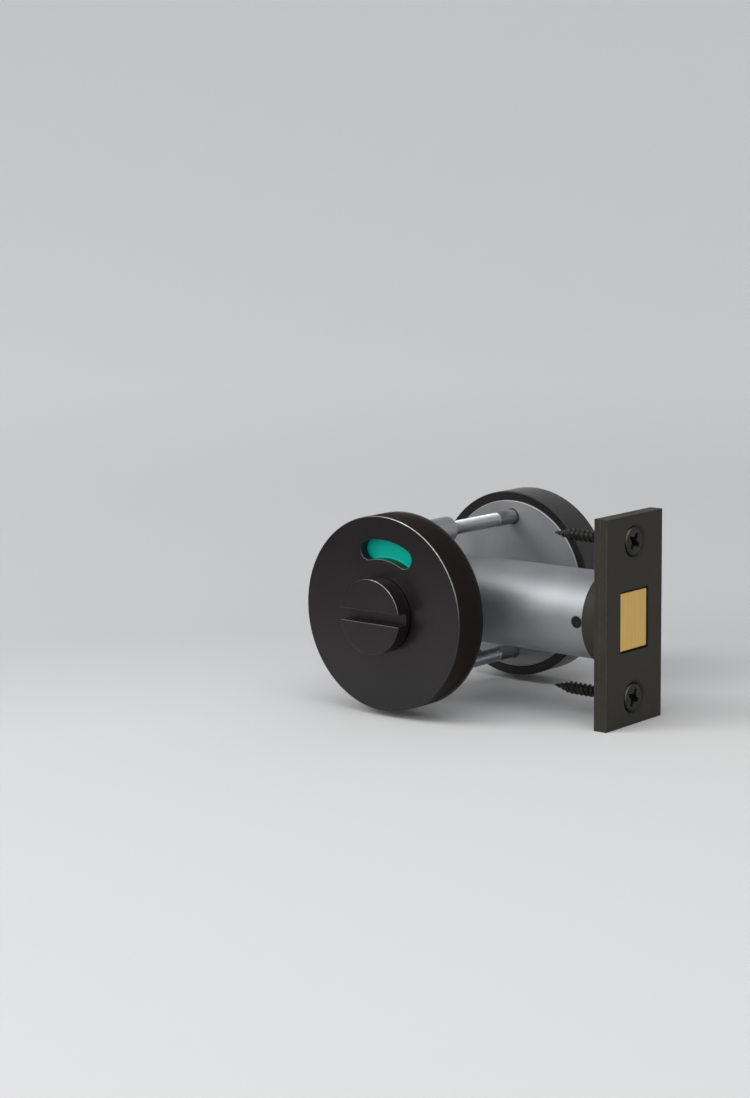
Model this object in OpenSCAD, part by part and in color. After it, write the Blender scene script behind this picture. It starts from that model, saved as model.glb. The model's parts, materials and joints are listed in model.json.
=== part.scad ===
// Indicator bolt for a toilet door, drawn as fitted, with the bolt drawn back and green showing.
// The origin is on the spindle axis, at the outside face of the door.
// +X points to the closing edge of the door, +Y goes into the door and +Z is up.

/* [Door] */
// Thickness of the door leaf, between the two roses
door_t = 46.5; // [40:0.5:60]
// Backset, from the closing edge of the door to the spindle axis
backset = 57; // [50:1:70]

/* [Roses] */
// Diameter of both roses
rose_d = 52; // [50:0.5:60]
// Height of both roses above the door
rose_h = 10.2; // [9.4:0.1:13]
// Thickness of a rose's face
rose_face_t = 2.6; // [2:0.1:3.2]
// Thickness of a rose's side wall
rose_wall = 2.4; // [1.6:0.1:3]
// Chamfer round a rose's front edge
rose_edge = 0.35; // [0.1:0.05:0.8]
// How far the outside rose is turned clockwise on the door, in degrees
rose_turn = 6; // [-10:1:10]

/* [Window] */
// Width of the indicator window, measured outwards from the axis
window_w = 5.2; // [3.5:0.1:6]
// Distance from the window to the rose's edge
window_margin = 6.2; // [4.5:0.1:6.5]
// Half the angle between the centres of the window's round ends
window_half_span = 20.5; // [10:0.5:24]

/* [Coin release] */
// Diameter of the release's head, and of the snib's boss
head_d = 20; // [18:0.5:24]
// Height of the head above the rose
head_h = 5; // [4:0.1:7]
// Chamfer round the head's front edge
head_edge = 0.3; // [0.1:0.05:0.6]
// Width of the coin slot
coin_slot_w = 3.2; // [2:0.1:4]
// Depth of the coin slot
coin_slot_depth = 3; // [1.5:0.1:3.4]

/* [Indicator disc] */
// Thickness of the disc
disc_t = 1.2; // [0.8:0.1:1.6]
// Thickness of the green and red faces
segment_t = 0.4; // [0.2:0.1:0.6]

/* [Snib] */
// Length of the snib's blade
snib_l = 32; // [24:1:40]
// Thickness of the snib's blade
snib_w = 8; // [5:0.5:12]
// Height of the snib's blade above its boss
snib_h = 14; // [8:0.5:20]
// Chamfer round the blade's outer end
snib_edge = 0.6; // [0.2:0.1:1.2]

/* [Spindle] */
// Width of the square spindle
spindle_w = 5; // [4:0.1:6]

/* [Fixings] */
// Diameter of the threaded posts
post_d = 7; // [6:0.1:8]
// Length of the posts behind the outside base plate
post_l = 18; // [12:1:24]
// Thread diameter of the through bolts
through_d = 3.9; // [3:0.1:4.5]
// Head diameter of the through bolts
through_head_d = 7.6; // [6:0.1:8.4]
// Diameter of the grub screws that hold the roses
grub_d = 2.9; // [2:0.1:3]

/* [Faceplate] */
// Width of the faceplate and of the forend behind it
plate_w = 25; // [24.8:0.1:28]
// Length of the faceplate and of the forend behind it
plate_l = 55; // [54:0.5:70]
// Thickness of the faceplate
plate_t = 2; // [1.5:0.1:3]
// Thickness of the forend
forend_t = 2; // [1.5:0.1:4]
// Distance between the faceplate screws
screw_spacing = 41; // [38:0.5:44]
// Thread diameter of the faceplate screws
screw_d = 3.5; // [3:0.1:4]
// Head diameter of the faceplate screws
screw_head_d = 8.3; // [7:0.1:8.6]
// Length of the faceplate screws
screw_l = 25; // [16:1:30]

/* [Bolt] */
// Thickness of the bolt, across the door
bolt_w = 11.8; // [9:0.1:12]
// Height of the bolt
bolt_h = 15.4; // [14:0.1:16]
// Length of the bolt
bolt_l = 32.8; // [28:0.2:35]
// How far the bolt's end lies behind the faceplate when drawn back
bolt_recess = 0.2; // [0:0.1:1]
// Gap between the bolt and the faceplate's hole
bolt_gap = 0.35; // [0.2:0.05:0.6]
// Thickness of the bolt's tail
tail_t = 2; // [1.4:0.1:2.2]
// Width of the bolt's tail
tail_w = 8; // [7:0.1:8.4]

/* [Case] */
// Wall of the tubular case
case_wall = 1; // [0.6:0.1:1.2]
// Least wall of the bolt's guide, at the bolt's corners
guide_wall = 0.42; // [0.3:0.02:1]
// How far the case runs past the spindle axis, away from the door's edge
case_rear = 19; // [17:0.5:26]
// Length of the plug inside the case's rear end
plug_l = 6; // [4:0.5:6]
// Length of the bolt's guide
guide_l = 12; // [8:0.5:14]

/* [Hidden] */
$fn = 128;

// Clearances
cut = 1;              // overshoot of every cut
run_clear = 0.05;     // radial, round a turning shaft
press_clear = 0.01;   // radial, round a pressed piece
slide_clear = 0.2;    // each side of a sliding piece
seat_clear = 0.1;     // radial, round a piece that drops into its seat
face_gap = 0.3;       // between faces that move past each other

// Roses, as heights above the door's face
rose_r = rose_d / 2;
cap_r = rose_r - rose_wall;
face_in = rose_h - rose_face_t;
window_r = rose_r - window_margin - window_w / 2;
window_swell = 0.04;  // lets the round ends cross the window's sides instead of grazing them
window_end_d = window_w + window_swell;
head_gap = 0.4;
head_under = rose_h + head_gap;
head_top = rose_h + head_h;

// Shank of the release and of the snib, from the spindle outwards
socket_w = spindle_w + 2 * run_clear;
socket_diagonal = socket_w * sqrt(2);
groove_wall = 1;
groove_depth = 0.9;
groove_d = socket_diagonal + 2 * groove_wall;
drive_d = groove_d + 2 * groove_depth;
flat_depth = 1;       // of each of the two flats
drive_flat = drive_d - 2 * flat_depth;
neck_step = 0.5;
neck_d = drive_d + 2 * neck_step;
socket_cover = 2.8;   // metal between the coin slot and the socket
socket_top = head_top - coin_slot_depth - socket_cover;
spindle_play = 0.4;   // between the spindle's end and the socket's
spindle_end = socket_top - spindle_play;

// Bushes
bush_wall = 1;
bush_bore = neck_d + 2 * run_clear;
bush_d = bush_bore + 2 * bush_wall;
flange_t = head_gap - seat_clear;
flange_rim = 1;
flange_d = bush_d + 2 * flange_rim;
rose_bore = bush_d + 2 * press_clear;

// Indicator, washer and clip, stacked down from the rose's inside face
segment_top = face_in - face_gap;
disc_top = segment_top - segment_t;
disc_bottom = disc_top - disc_t;
disc_clear = 1.1;     // between the disc's edge and the rose's side wall
disc_r = cap_r - disc_clear;
washer_t = 0.3;
washer_h = 0.6;
washer_rim = 1.7;
washer_r = drive_d / 2 + washer_rim;
clip_t = 0.6;
clip_rim = 2;
clip_d = drive_d + 2 * clip_rim;
clip_grip = 0.8;      // how far each side of the clip's mouth closes in
clip_mouth = groove_d - 2 * clip_grip;
clip_relief_d = groove_d / 2;
clip_relief_angle = 50;
groove_w = clip_t + 2 * press_clear;
outer_clip_z = disc_bottom - washer_h - clip_t;
inner_washer_z = segment_top - washer_h;
inner_clip_z = inner_washer_z - clip_t;
inner_shoulder = segment_top + seat_clear;

// Green and red faces, each a little wider than the window
segment_lap = 1.6;    // past the window's inner edge
segment_margin = 0.3; // inside the disc's edge
segment_in_r = window_r - window_w / 2 - segment_lap;
segment_out_r = disc_r - segment_margin;
turn_angle = 90;
segment_split = 2;    // angle between the two faces
segment_half = (turn_angle - segment_split) / 2;

// Base plates
base_t = outer_clip_z - face_gap;
base_d = 2 * (cap_r - seat_clear);
base_bore_clear = 1;  // radial, round the shank
base_bore = drive_d + 2 * base_bore_clear;
post_edge = 1;
post_spacing = base_d - post_d - 2 * post_edge;
shank_lap = 1.6;      // how far a shank reaches into its base plate
shank_end = base_t - shank_lap;
pin_d = 1.6;
pin_z = (base_t + inner_clip_z) / 2;
grub_z = base_t / 2;
grub_hex = grub_d / 2;

// Through bolts
post_bore = through_d + 2 * run_clear;
post_floor = 7;
through_tip_gap = 1;
through_end = post_floor + through_tip_gap;
through_point_l = 0.5;
through_neck_step = 0.05;
through_neck_d = through_d + 2 * through_neck_step;
through_hole = through_d + 2 * slide_clear;
through_sink = 0.1;
through_neck_l = 12;

// Tubular case, with room for the bolt's guide
y_mid = door_t / 2;
bolt_corner = norm([bolt_w / 2 + slide_clear, bolt_h / 2 + slide_clear]);
guide_r = bolt_corner + guide_wall;
case_in = guide_r + seat_clear;
case_r = case_in + case_wall;
case_d = 2 * case_r;
seam = 0.05;

// Cross recess of a screw, as shares of its head's diameter
recess_length = 0.55;
recess_width = 0.11;
recess_depth = 0.2;

// Plates in the door's edge, as distances along X
plate_x = backset - plate_t;
forend_x = plate_x - forend_t;
screw_sink = 0.15;
sink_clear = 0.25;
screw_neck_step = 0.35;
screw_neck_d = screw_d + 2 * screw_neck_step;
screw_tip_d = 0.6;
screw_cone_d = screw_head_d + 2 * sink_clear;
screw_hole = max(screw_cone_d - 2 * plate_t, screw_neck_d + 2 * seat_clear);
collar_l = 4;
collar_wall = 0.85;
collar_bore = case_d + 2 * run_clear;
collar_d = collar_bore + 2 * collar_wall;

// End plug and its rivet
plug_x = plug_l - case_rear;
plug_flange_t = 1.2;
rivet_d = 3;
rivet_head_d = 5;
rivet_head_t = 0.7;
case_rivet_x = plug_x - plug_l / 2;

// Follower, with its lever leaning back half the turn at rest
hub_wall = 1.4;       // at the corners of the socket
hub_d = socket_diagonal + 2 * hub_wall;
hub_half = case_r - slide_clear;
cam_step = 0.8;
cam_r = hub_d / 2 + cam_step;
cam_flat_depth = 0.6;
cam_flat = cam_r - cam_flat_depth;
cam_t = 6;
nose_r = 1.8;
nose_clear = 0.5;     // between the nose and the case
lever_w = 2.6;
lever_t = 4;
lever_r = case_in - nose_clear - nose_r;
nose_x = lever_r * sin(turn_angle / 2);

// Bolt and tail
bolt_x = backset - bolt_recess - bolt_l;
tail_clear = 0.4;     // above the cam
tail_z = cam_r + tail_clear;
tail_lap = 10;
tail_end_l = 2.9;     // behind the nose
tail_x = -nose_x - nose_r - tail_end_l;
notch_clear = 0.4;
tail_rivet_depth = 4;
tail_rivet_head_d = 4.4;

// Guide
guide_x = forend_x - slide_clear - guide_l;
guide_pip_d = 3;
guide_pip_x = guide_x + guide_l / 2;

// Detent spring
leaf_w = 5;
leaf_t = 0.5;
leaf_z = -cam_flat - seat_clear - leaf_t;
leaf_over = 1;        // past the cam
leaf_tip = cam_r + leaf_over;
leaf_stop = 1;        // plug left behind the leaf
leaf_depth = plug_l - leaf_stop;

// Finishes
black = [0.09, 0.09, 0.09];
bronze_grey = [0.2, 0.2, 0.18];
zinc = [0.72, 0.73, 0.74];
steel = [0.55, 0.56, 0.58];
dark_steel = [0.12, 0.12, 0.12];
brass = [0.75, 0.6, 0.32];
bronze = [0.62, 0.45, 0.25];
nylon = [0.1, 0.1, 0.1];
green = [0, 0.6, 0.5];
red = [0.75, 0.08, 0.08];

// Stands a shape on the outside face of the door: x to the right, y up and z out of the door
module outside() {
    rotate([90, 0, 0]) children();
}

// Stands a shape on the inside face of the door, in the same way
module inside() {
    translate([0, door_t, 0]) rotate([90, 0, 180]) children();
}

// Turns the outside rose, and all that is cut in it, clockwise
module with_rose() {
    rotate([0, 0, -rose_turn]) children();
}

// Extrudes an outline in Y and Z along X
module along_x(x0, x1) {
    translate([x0, y_mid, 0]) rotate([90, 0, 90]) linear_extrude(x1 - x0) children();
}

// Lays a shape's z axis along X, on the bolt's centre line
module facing_x(x, z = 0) {
    translate([x, y_mid, z]) rotate([0, 90, 0]) children();
}

// Lays a shape's z axis across the door, on the bolt's centre line
module across_door(x, z = 0) {
    translate([x, y_mid, z]) rotate([90, 0, 0]) children();
}

// Repeats a shape at two heights, one above and one below
module pair(spacing) {
    for (side = [-1, 1]) translate([0, side * spacing / 2, 0]) children();
}

// Round cap of a rose, bored for its bush and for its grub screw
module rose_cap() {
    difference() {
        rotate_extrude() polygon([
            [rose_bore / 2, face_in], [cap_r, face_in], [cap_r, 0], [rose_r, 0],
            [rose_r, rose_h - rose_edge], [rose_r - rose_edge, rose_h], [rose_bore / 2, rose_h]
        ]);
        grub_line(cap_r - cut) cylinder(d = grub_d + 2 * run_clear, h = rose_wall + 2 * cut);
    }
}

// Places a shape on the grub screw's axis, which points out of the bottom of the rose
module grub_line(r) {
    translate([0, -r, grub_z]) rotate([90, 0, 0]) children();
}

module grub_screw() {
    grub_line(base_d / 2 + press_clear) difference() {
        length = rose_wall - slide_clear;
        cylinder(d = grub_d, h = length);
        translate([0, 0, length / 2]) cylinder(d = grub_hex, h = length, $fn = 6);
    }
}

module window_cut() {
    rotate([0, 0, 90 - window_half_span])
        rotate_extrude(angle = 2 * window_half_span)
            translate([window_r - window_w / 2, face_in - cut]) square([window_w, rose_face_t + 2 * cut]);
    for (side = [-1, 1]) rotate([0, 0, side * window_half_span])
        translate([0, window_r, face_in - cut]) cylinder(d = window_end_d, h = rose_face_t + 2 * cut);
}

module bush() {
    rotate_extrude() polygon([
        [bush_bore / 2, face_in], [bush_d / 2, face_in], [bush_d / 2, rose_h],
        [flange_d / 2, rose_h], [flange_d / 2, rose_h + flange_t], [bush_bore / 2, rose_h + flange_t]
    ]);
}

// Round head with a chamfered front edge
module head() {
    rotate_extrude() polygon([
        [0, head_under], [head_d / 2, head_under], [head_d / 2, head_top - head_edge],
        [head_d / 2 - head_edge, head_top], [0, head_top]
    ]);
}

// Outline of the flatted part of the shank, with clearance all round
module drive_outline(clearance = 0) {
    intersection() {
        circle(d = drive_d + 2 * clearance);
        square([drive_flat + 2 * clearance, drive_d + 2 * cut], center = true);
    }
}

// Neck, flatted shank, clip groove and spindle socket behind a head
module shank(shoulder, clip_z) {
    difference() {
        union() {
            translate([0, 0, shoulder]) cylinder(d = neck_d, h = head_under - shoulder);
            translate([0, 0, shank_end]) linear_extrude(shoulder - shank_end) drive_outline();
        }
        translate([0, 0, clip_z - press_clear]) linear_extrude(groove_w) difference() {
            circle(d = drive_d + cut);
            circle(d = groove_d);
        }
        translate([0, 0, shank_end - cut]) linear_extrude(socket_top - shank_end + cut)
            square(socket_w, center = true);
    }
}

// Cone washer that sits under z, wide edge up
module cone_washer(z) {
    bore_r = drive_d / 2 + seat_clear;
    lift = washer_h - washer_t;
    rotate_extrude() polygon([
        [washer_r, z - press_clear], [bore_r, z - lift],
        [bore_r, z - washer_h + press_clear], [washer_r, z - washer_t]
    ]);
}

// Clip that grips the groove at three places, open at the bottom
module retaining_clip(z) {
    translate([0, 0, z]) linear_extrude(clip_t) difference() {
        circle(d = clip_d);
        circle(d = groove_d + 2 * seat_clear);
        translate([-clip_mouth / 2, -clip_d]) square([clip_mouth, clip_d]);
        for (side = [-1, 1]) rotate(side * clip_relief_angle)
            translate([0, groove_d / 2]) circle(d = clip_relief_d);
    }
}

module base_plate(hole_d) {
    difference() {
        cylinder(d = base_d, h = base_t);
        translate([0, 0, -cut]) cylinder(d = base_bore, h = base_t + 2 * cut);
        pair(post_spacing) translate([0, 0, -cut]) cylinder(d = hole_d, h = base_t + 2 * cut);
    }
}

// Countersunk screw that points down from its head at z = 0, with a cross recess
module countersunk_screw(cone_d, neck_d, neck_l, thread_d, length, point_l, tip_d) {
    arm_l = cone_d * recess_length;
    arm_w = cone_d * recess_width;
    arm_depth = cone_d * recess_depth;
    difference() {
        rotate_extrude() polygon([
            [0, 0], [cone_d / 2, 0], [neck_d / 2, (neck_d - cone_d) / 2], [neck_d / 2, -neck_l],
            [thread_d / 2, -neck_l], [thread_d / 2, point_l - length], [tip_d / 2, -length], [0, -length]
        ]);
        for (turn = [0, 90]) rotate(turn)
            translate([-arm_l / 2, -arm_w / 2, -arm_depth])
                cube([arm_l, arm_w, arm_depth + cut]);
    }
}

// Countersink whose rim lies at z = 0
module countersink(cone_d, hole_d) {
    depth = (cone_d - hole_d) / 2;
    translate([0, 0, -depth]) cylinder(d1 = hole_d, d2 = cone_d, h = depth);
    cylinder(d = cone_d, h = cut);
}

module indicator_rose() {
    color(black) outside() with_rose() difference() {
        rose_cap();
        window_cut();
    }
}

module outer_bush() {
    color(bronze) outside() bush();
}

module coin_release() {
    color(black) outside() {
        difference() {
            head();
            translate([-head_d, -coin_slot_w / 2, head_top - coin_slot_depth])
                cube([2 * head_d, coin_slot_w, coin_slot_depth + cut]);
        }
        shank(disc_top, outer_clip_z);
    }
}

module indicator_disc() {
    color(zinc) outside() translate([0, 0, disc_bottom]) linear_extrude(disc_t) difference() {
        circle(r = disc_r);
        drive_outline(run_clear);
    }
}

// Face that fills an arc of the disc, centred some way round clockwise from the window
module segment(turn) {
    with_rose() rotate([0, 0, 90 - turn - segment_half])
        rotate_extrude(angle = 2 * segment_half)
            translate([segment_in_r, disc_top]) square([segment_out_r - segment_in_r, segment_t]);
}

module vacant_segment() {
    color(green) outside() segment(0);
}

module occupied_segment() {
    color(red) outside() segment(-turn_angle);
}

module outer_spring_washer() {
    color(steel) outside() cone_washer(disc_bottom);
}

module outer_clip() {
    color(dark_steel) outside() retaining_clip(outer_clip_z);
}

module outer_base_plate() {
    color(zinc) outside() base_plate(post_d + 2 * press_clear);
}

module clamp_posts() {
    color(steel) outside() pair(post_spacing) translate([0, 0, -post_l]) difference() {
        cylinder(d = post_d, h = post_l + base_t);
        translate([0, 0, -cut]) cylinder(d = post_bore, h = post_l - post_floor + cut);
    }
}

module rose_grub_screws() {
    color(dark_steel) {
        outside() with_rose() grub_screw();
        inside() grub_screw();
    }
}

module spindle() {
    color(steel) translate([-spindle_w / 2, -spindle_end, -spindle_w / 2]) difference() {
        cube([spindle_w, door_t + 2 * spindle_end, spindle_w]);
        translate([-cut, door_t + spindle_end + pin_z, spindle_w / 2])
            rotate([0, 90, 0]) cylinder(d = pin_d + 2 * press_clear, h = spindle_w + 2 * cut);
    }
}

module pin_line(length) {
    translate([-length / 2, 0, pin_z]) rotate([0, 90, 0]) children();
}

module spindle_pin() {
    color(dark_steel) inside() pin_line(drive_flat) cylinder(d = pin_d, h = drive_flat);
}

module inside_rose() {
    color(black) inside() rose_cap();
}

module inner_bush() {
    color(bronze) inside() bush();
}

// Upright blade: a slice through a disc, chamfered at its outer end
module snib_blade() {
    intersection() {
        rotate_extrude() polygon([
            [0, head_top], [snib_l / 2, head_top], [snib_l / 2, head_top + snib_h - snib_edge],
            [snib_l / 2 - snib_edge, head_top + snib_h], [0, head_top + snib_h]
        ]);
        translate([0, snib_l, 0]) rotate([90, 0, 0]) linear_extrude(2 * snib_l) polygon([
            [-snib_w / 2, head_top - cut], [snib_w / 2, head_top - cut],
            [snib_w / 2, head_top + snib_h - snib_edge], [snib_w / 2 - snib_edge, head_top + snib_h],
            [snib_edge - snib_w / 2, head_top + snib_h], [-snib_w / 2, head_top + snib_h - snib_edge]
        ]);
    }
}

module turn_snib() {
    color(black) inside() {
        head();
        snib_blade();
        difference() {
            shank(inner_shoulder, inner_clip_z);
            pin_line(drive_d + cut) cylinder(d = pin_d + 2 * press_clear, h = drive_d + cut);
        }
    }
}

module inner_spring_washer() {
    color(steel) inside() cone_washer(segment_top);
}

module inner_clip() {
    color(dark_steel) inside() retaining_clip(inner_clip_z);
}

module inner_base_plate() {
    color(zinc) inside() difference() {
        base_plate(through_hole);
        pair(post_spacing) translate([0, 0, base_t])
            countersink(through_head_d + 2 * sink_clear, through_hole);
    }
}

module through_bolts() {
    length = door_t + base_t - through_sink - through_end;
    color(steel) inside() pair(post_spacing) translate([0, 0, base_t - through_sink])
        countersunk_screw(through_head_d, through_neck_d, through_neck_l,
                          through_d, length, through_point_l, through_d - 2 * through_point_l);
}

// Rectangle round the bolt's section, with clearance all round
module bolt_outline(clearance = 0) {
    square([bolt_w + 2 * clearance, bolt_h + 2 * clearance], center = true);
}

module faceplate() {
    color(bronze_grey) difference() {
        along_x(plate_x, backset) difference() {
            square([plate_w, plate_l], center = true);
            bolt_outline(bolt_gap);
            pair(screw_spacing) circle(d = screw_hole);
        }
        for (side = [-1, 1]) facing_x(backset, side * screw_spacing / 2)
            countersink(screw_cone_d, screw_hole);
    }
}

module forend() {
    color(bronze_grey) {
        along_x(forend_x, plate_x) difference() {
            square([plate_w, plate_l], center = true);
            bolt_outline(bolt_gap);
            pair(screw_spacing) circle(d = screw_hole);
        }
        along_x(forend_x - collar_l, forend_x) difference() {
            circle(d = collar_d);
            circle(d = collar_bore);
        }
    }
}

module faceplate_screws() {
    color(dark_steel) for (side = [-1, 1]) facing_x(backset - screw_sink, side * screw_spacing / 2)
        countersunk_screw(screw_head_d, screw_neck_d, plate_t + forend_t,
                          screw_d, screw_l, screw_d, screw_tip_d);
}

// Places a shape on each rivet of the tail, at the top of the tail, pointing up
module tail_rivet_places() {
    for (step = [1, 3]) translate([bolt_x + tail_lap * step / 4, y_mid, tail_z + tail_t]) children();
}

// Rivet with a flush cone head; clearance grows it into its own hole
module tail_rivet(clearance = 0) {
    head_t = (tail_rivet_head_d - rivet_d) / 2;
    depth = tail_t + tail_rivet_depth + clearance;
    translate([0, 0, -depth]) cylinder(d = rivet_d + 2 * clearance, h = depth - head_t);
    translate([0, 0, -head_t])
        cylinder(d1 = rivet_d + 2 * clearance, d2 = tail_rivet_head_d + 2 * clearance, h = head_t);
}

module deadbolt() {
    color(brass) difference() {
        along_x(bolt_x, bolt_x + bolt_l) bolt_outline();
        translate([bolt_x - cut, y_mid - bolt_w, tail_z]) cube([tail_lap + cut, 2 * bolt_w, bolt_h]);
        tail_rivet_places() tail_rivet(press_clear);
    }
}

module bolt_tail() {
    color(steel) difference() {
        translate([tail_x, y_mid - tail_w / 2, tail_z]) cube([bolt_x + tail_lap - tail_x, tail_w, tail_t]);
        notch_l = 2 * (nose_r + notch_clear);
        notch_w = lever_t + 2 * notch_clear;
        translate([-nose_x - notch_l / 2, y_mid - notch_w / 2, tail_z - cut])
            cube([notch_l, notch_w, tail_t + 2 * cut]);
        tail_rivet_places() tail_rivet(press_clear);
    }
}

module tail_rivets() {
    color(steel) tail_rivet_places() tail_rivet();
}

module follower() {
    color(zinc) across_door(0) difference() {
        union() {
            cylinder(d = hub_d, h = 2 * hub_half, center = true);
            linear_extrude(cam_t, center = true) intersection() {
                circle(r = cam_r);
                translate([-cam_r - cut, -cam_flat]) square([cam_r + cut + cam_flat, 2 * cam_r + cut]);
            }
            linear_extrude(lever_t, center = true) rotate(turn_angle / 2) {
                translate([-lever_w / 2, 0]) square([lever_w, lever_r]);
                translate([0, lever_r]) circle(r = nose_r);
            }
        }
        linear_extrude(2 * hub_half + cut, center = true) square(socket_w, center = true);
    }
}

// Half of the tubular case: side is -1 for the outside half and 1 for the inside half
module case_half(side) {
    difference() {
        along_x(-case_rear, forend_x) difference() {
            circle(r = case_r);
            circle(r = case_in);
            translate([side > 0 ? seam - case_d : -seam, -case_d]) square([case_d, 2 * case_d]);
        }
        across_door(0) cylinder(d = hub_d + 2 * run_clear, h = 2 * case_d, center = true);
        across_door(case_rivet_x) cylinder(d = rivet_d + 2 * press_clear, h = 2 * case_d, center = true);
        across_door(guide_pip_x) cylinder(d = guide_pip_d + 2 * seat_clear, h = 2 * case_d, center = true);
    }
}

module case_half_outer() {
    color(zinc) case_half(-1);
}

module case_half_inner() {
    color(zinc) case_half(1);
}

module case_end_plug() {
    color(nylon) difference() {
        union() {
            along_x(-case_rear, plug_x) circle(r = guide_r);
            along_x(-case_rear - plug_flange_t, -case_rear) circle(d = case_d);
        }
        across_door(case_rivet_x) cylinder(d = rivet_d + 2 * press_clear, h = 2 * case_d, center = true);
        translate([plug_x - leaf_depth, y_mid - leaf_w / 2 - press_clear, leaf_z - press_clear])
            cube([leaf_depth + cut, leaf_w + 2 * press_clear, leaf_t + 2 * press_clear]);
    }
}

module case_rivet() {
    color(steel) across_door(case_rivet_x) {
        cylinder(d = rivet_d, h = case_d, center = true);
        for (side = [-1, 1]) translate([0, 0, side * (case_r + rivet_head_t / 2)])
            cylinder(d = rivet_head_d, h = rivet_head_t, center = true);
    }
}

module bolt_guide() {
    tail_top = tail_z + tail_t + face_gap;
    color(nylon) difference() {
        union() {
            along_x(guide_x, guide_x + guide_l) circle(r = guide_r);
            across_door(guide_pip_x) cylinder(d = guide_pip_d, h = case_d - 2 * slide_clear, center = true);
        }
        along_x(guide_x - cut, guide_x + guide_l + cut) {
            bolt_outline(slide_clear);
            translate([-tail_w / 2 - face_gap, 0]) square([tail_w + 2 * face_gap, tail_top]);
        }
    }
}

module detent_spring() {
    color(steel) translate([plug_x - leaf_depth + press_clear, y_mid - leaf_w / 2, leaf_z])
        cube([leaf_tip - plug_x + leaf_depth, leaf_w, leaf_t]);
}

indicator_rose();
outer_bush();
coin_release();
indicator_disc();
vacant_segment();
occupied_segment();
outer_spring_washer();
outer_clip();
outer_base_plate();
clamp_posts();
rose_grub_screws();
spindle();
spindle_pin();
inside_rose();
inner_bush();
turn_snib();
inner_spring_washer();
inner_clip();
inner_base_plate();
through_bolts();
faceplate();
forend();
faceplate_screws();
deadbolt();
bolt_tail();
tail_rivets();
follower();
case_half_outer();
case_half_inner();
case_end_plug();
case_rivet();
bolt_guide();
detent_spring();
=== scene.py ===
import json
from collections import namedtuple
from math import asin, atan2, cos, hypot, pi, radians, sin, tan

import bmesh
import bpy
from mathutils import Matrix, Vector


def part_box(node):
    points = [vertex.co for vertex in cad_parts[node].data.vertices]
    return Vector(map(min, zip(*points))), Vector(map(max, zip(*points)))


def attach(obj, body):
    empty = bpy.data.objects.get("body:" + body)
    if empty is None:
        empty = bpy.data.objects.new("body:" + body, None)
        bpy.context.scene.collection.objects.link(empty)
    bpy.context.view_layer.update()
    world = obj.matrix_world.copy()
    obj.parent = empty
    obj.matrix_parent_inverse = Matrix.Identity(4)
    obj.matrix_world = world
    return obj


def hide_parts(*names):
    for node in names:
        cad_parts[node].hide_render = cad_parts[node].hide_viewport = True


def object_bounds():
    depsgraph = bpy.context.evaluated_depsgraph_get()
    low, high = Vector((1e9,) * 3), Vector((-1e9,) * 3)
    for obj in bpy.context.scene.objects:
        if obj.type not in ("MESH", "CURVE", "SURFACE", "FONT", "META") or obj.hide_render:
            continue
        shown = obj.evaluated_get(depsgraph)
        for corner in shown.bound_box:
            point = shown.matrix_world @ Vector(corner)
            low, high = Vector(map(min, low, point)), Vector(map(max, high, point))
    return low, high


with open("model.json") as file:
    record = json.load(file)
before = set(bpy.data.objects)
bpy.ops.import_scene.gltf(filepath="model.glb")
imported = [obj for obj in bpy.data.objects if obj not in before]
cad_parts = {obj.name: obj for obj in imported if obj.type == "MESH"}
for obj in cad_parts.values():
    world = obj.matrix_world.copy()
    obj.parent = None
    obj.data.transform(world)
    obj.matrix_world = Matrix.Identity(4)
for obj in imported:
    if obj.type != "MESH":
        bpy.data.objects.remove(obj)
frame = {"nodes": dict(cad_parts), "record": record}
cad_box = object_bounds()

# Shapes are drawn in millimetres, each in a local frame: u to the right, v up and h out of the door
MM = 0.001


def span(node):
    """Lowest and highest corner of a CAD node, in millimetres."""
    low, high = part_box(node)
    return low / MM, high / MM


# Sizes taken from the frame
rose_low, rose_high = span("indicator_rose")
release_low, release_high = span("coin_release")
snib_high = span("turn_snib")[1]
plate_low, plate_high = span("faceplate")
forend_low, forend_high = span("forend")
screw_low, screw_high = span("faceplate_screws")
bolt_low, bolt_high = span("deadbolt")
post_high = span("clamp_posts")[1]
base_low, base_high = span("outer_base_plate")
through_low, through_high = span("through_bolts")
disc_low = span("indicator_disc")[0]

DOOR_T = span("inside_rose")[0].y
MID_Y = DOOR_T / 2
ROSE_R = rose_high.x
ROSE_H = -rose_low.y
HEAD_R = release_high.x
HEAD_TOP = -release_low.y
SHANK_END = -release_high.y
BASE_R = base_high.x
BASE_T = -base_low.y
POST_R = post_high.x
POST_Z = post_high.z - POST_R
POST_END = -post_high.y
DISC_TOP = -disc_low.y
PLATE_T = plate_high.x - plate_low.x
SCREW_HEAD_R = (screw_high.y - screw_low.y) / 2
SCREW_SPREAD = screw_high.z - SCREW_HEAD_R

# Roses
FACE_T = 2.6
WALL_T = 2.4
ROSE_EDGE = 0.26
ROSE_FOOT = 0.3
BUSH_R = 7.055
BORE_EDGE = 0.12
GRUB_H = BASE_T / 2
GRUB_R = 1.5
GRUB_OVERRUN = 1.0
ROSE_TURN = radians(6)

# Window
WINDOW_R = 17.2
WINDOW_HALF_W = 2.6
WINDOW_HALF_SPAN = radians(20.5)
WINDOW_EDGE = 0.13

# Green and red faces, coved up to a thin ledge that the window's lower edge hides
SEGMENT_IN = 13.0
SEGMENT_OUT = 22.2
SEGMENT_HALF = radians(44)
SEGMENT_TOP = 7.3
SEGMENT_EDGE = 0.1
LEDGE_H = 7.5
LEDGE_R = 14.8
COVE_R = 15.35

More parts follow.
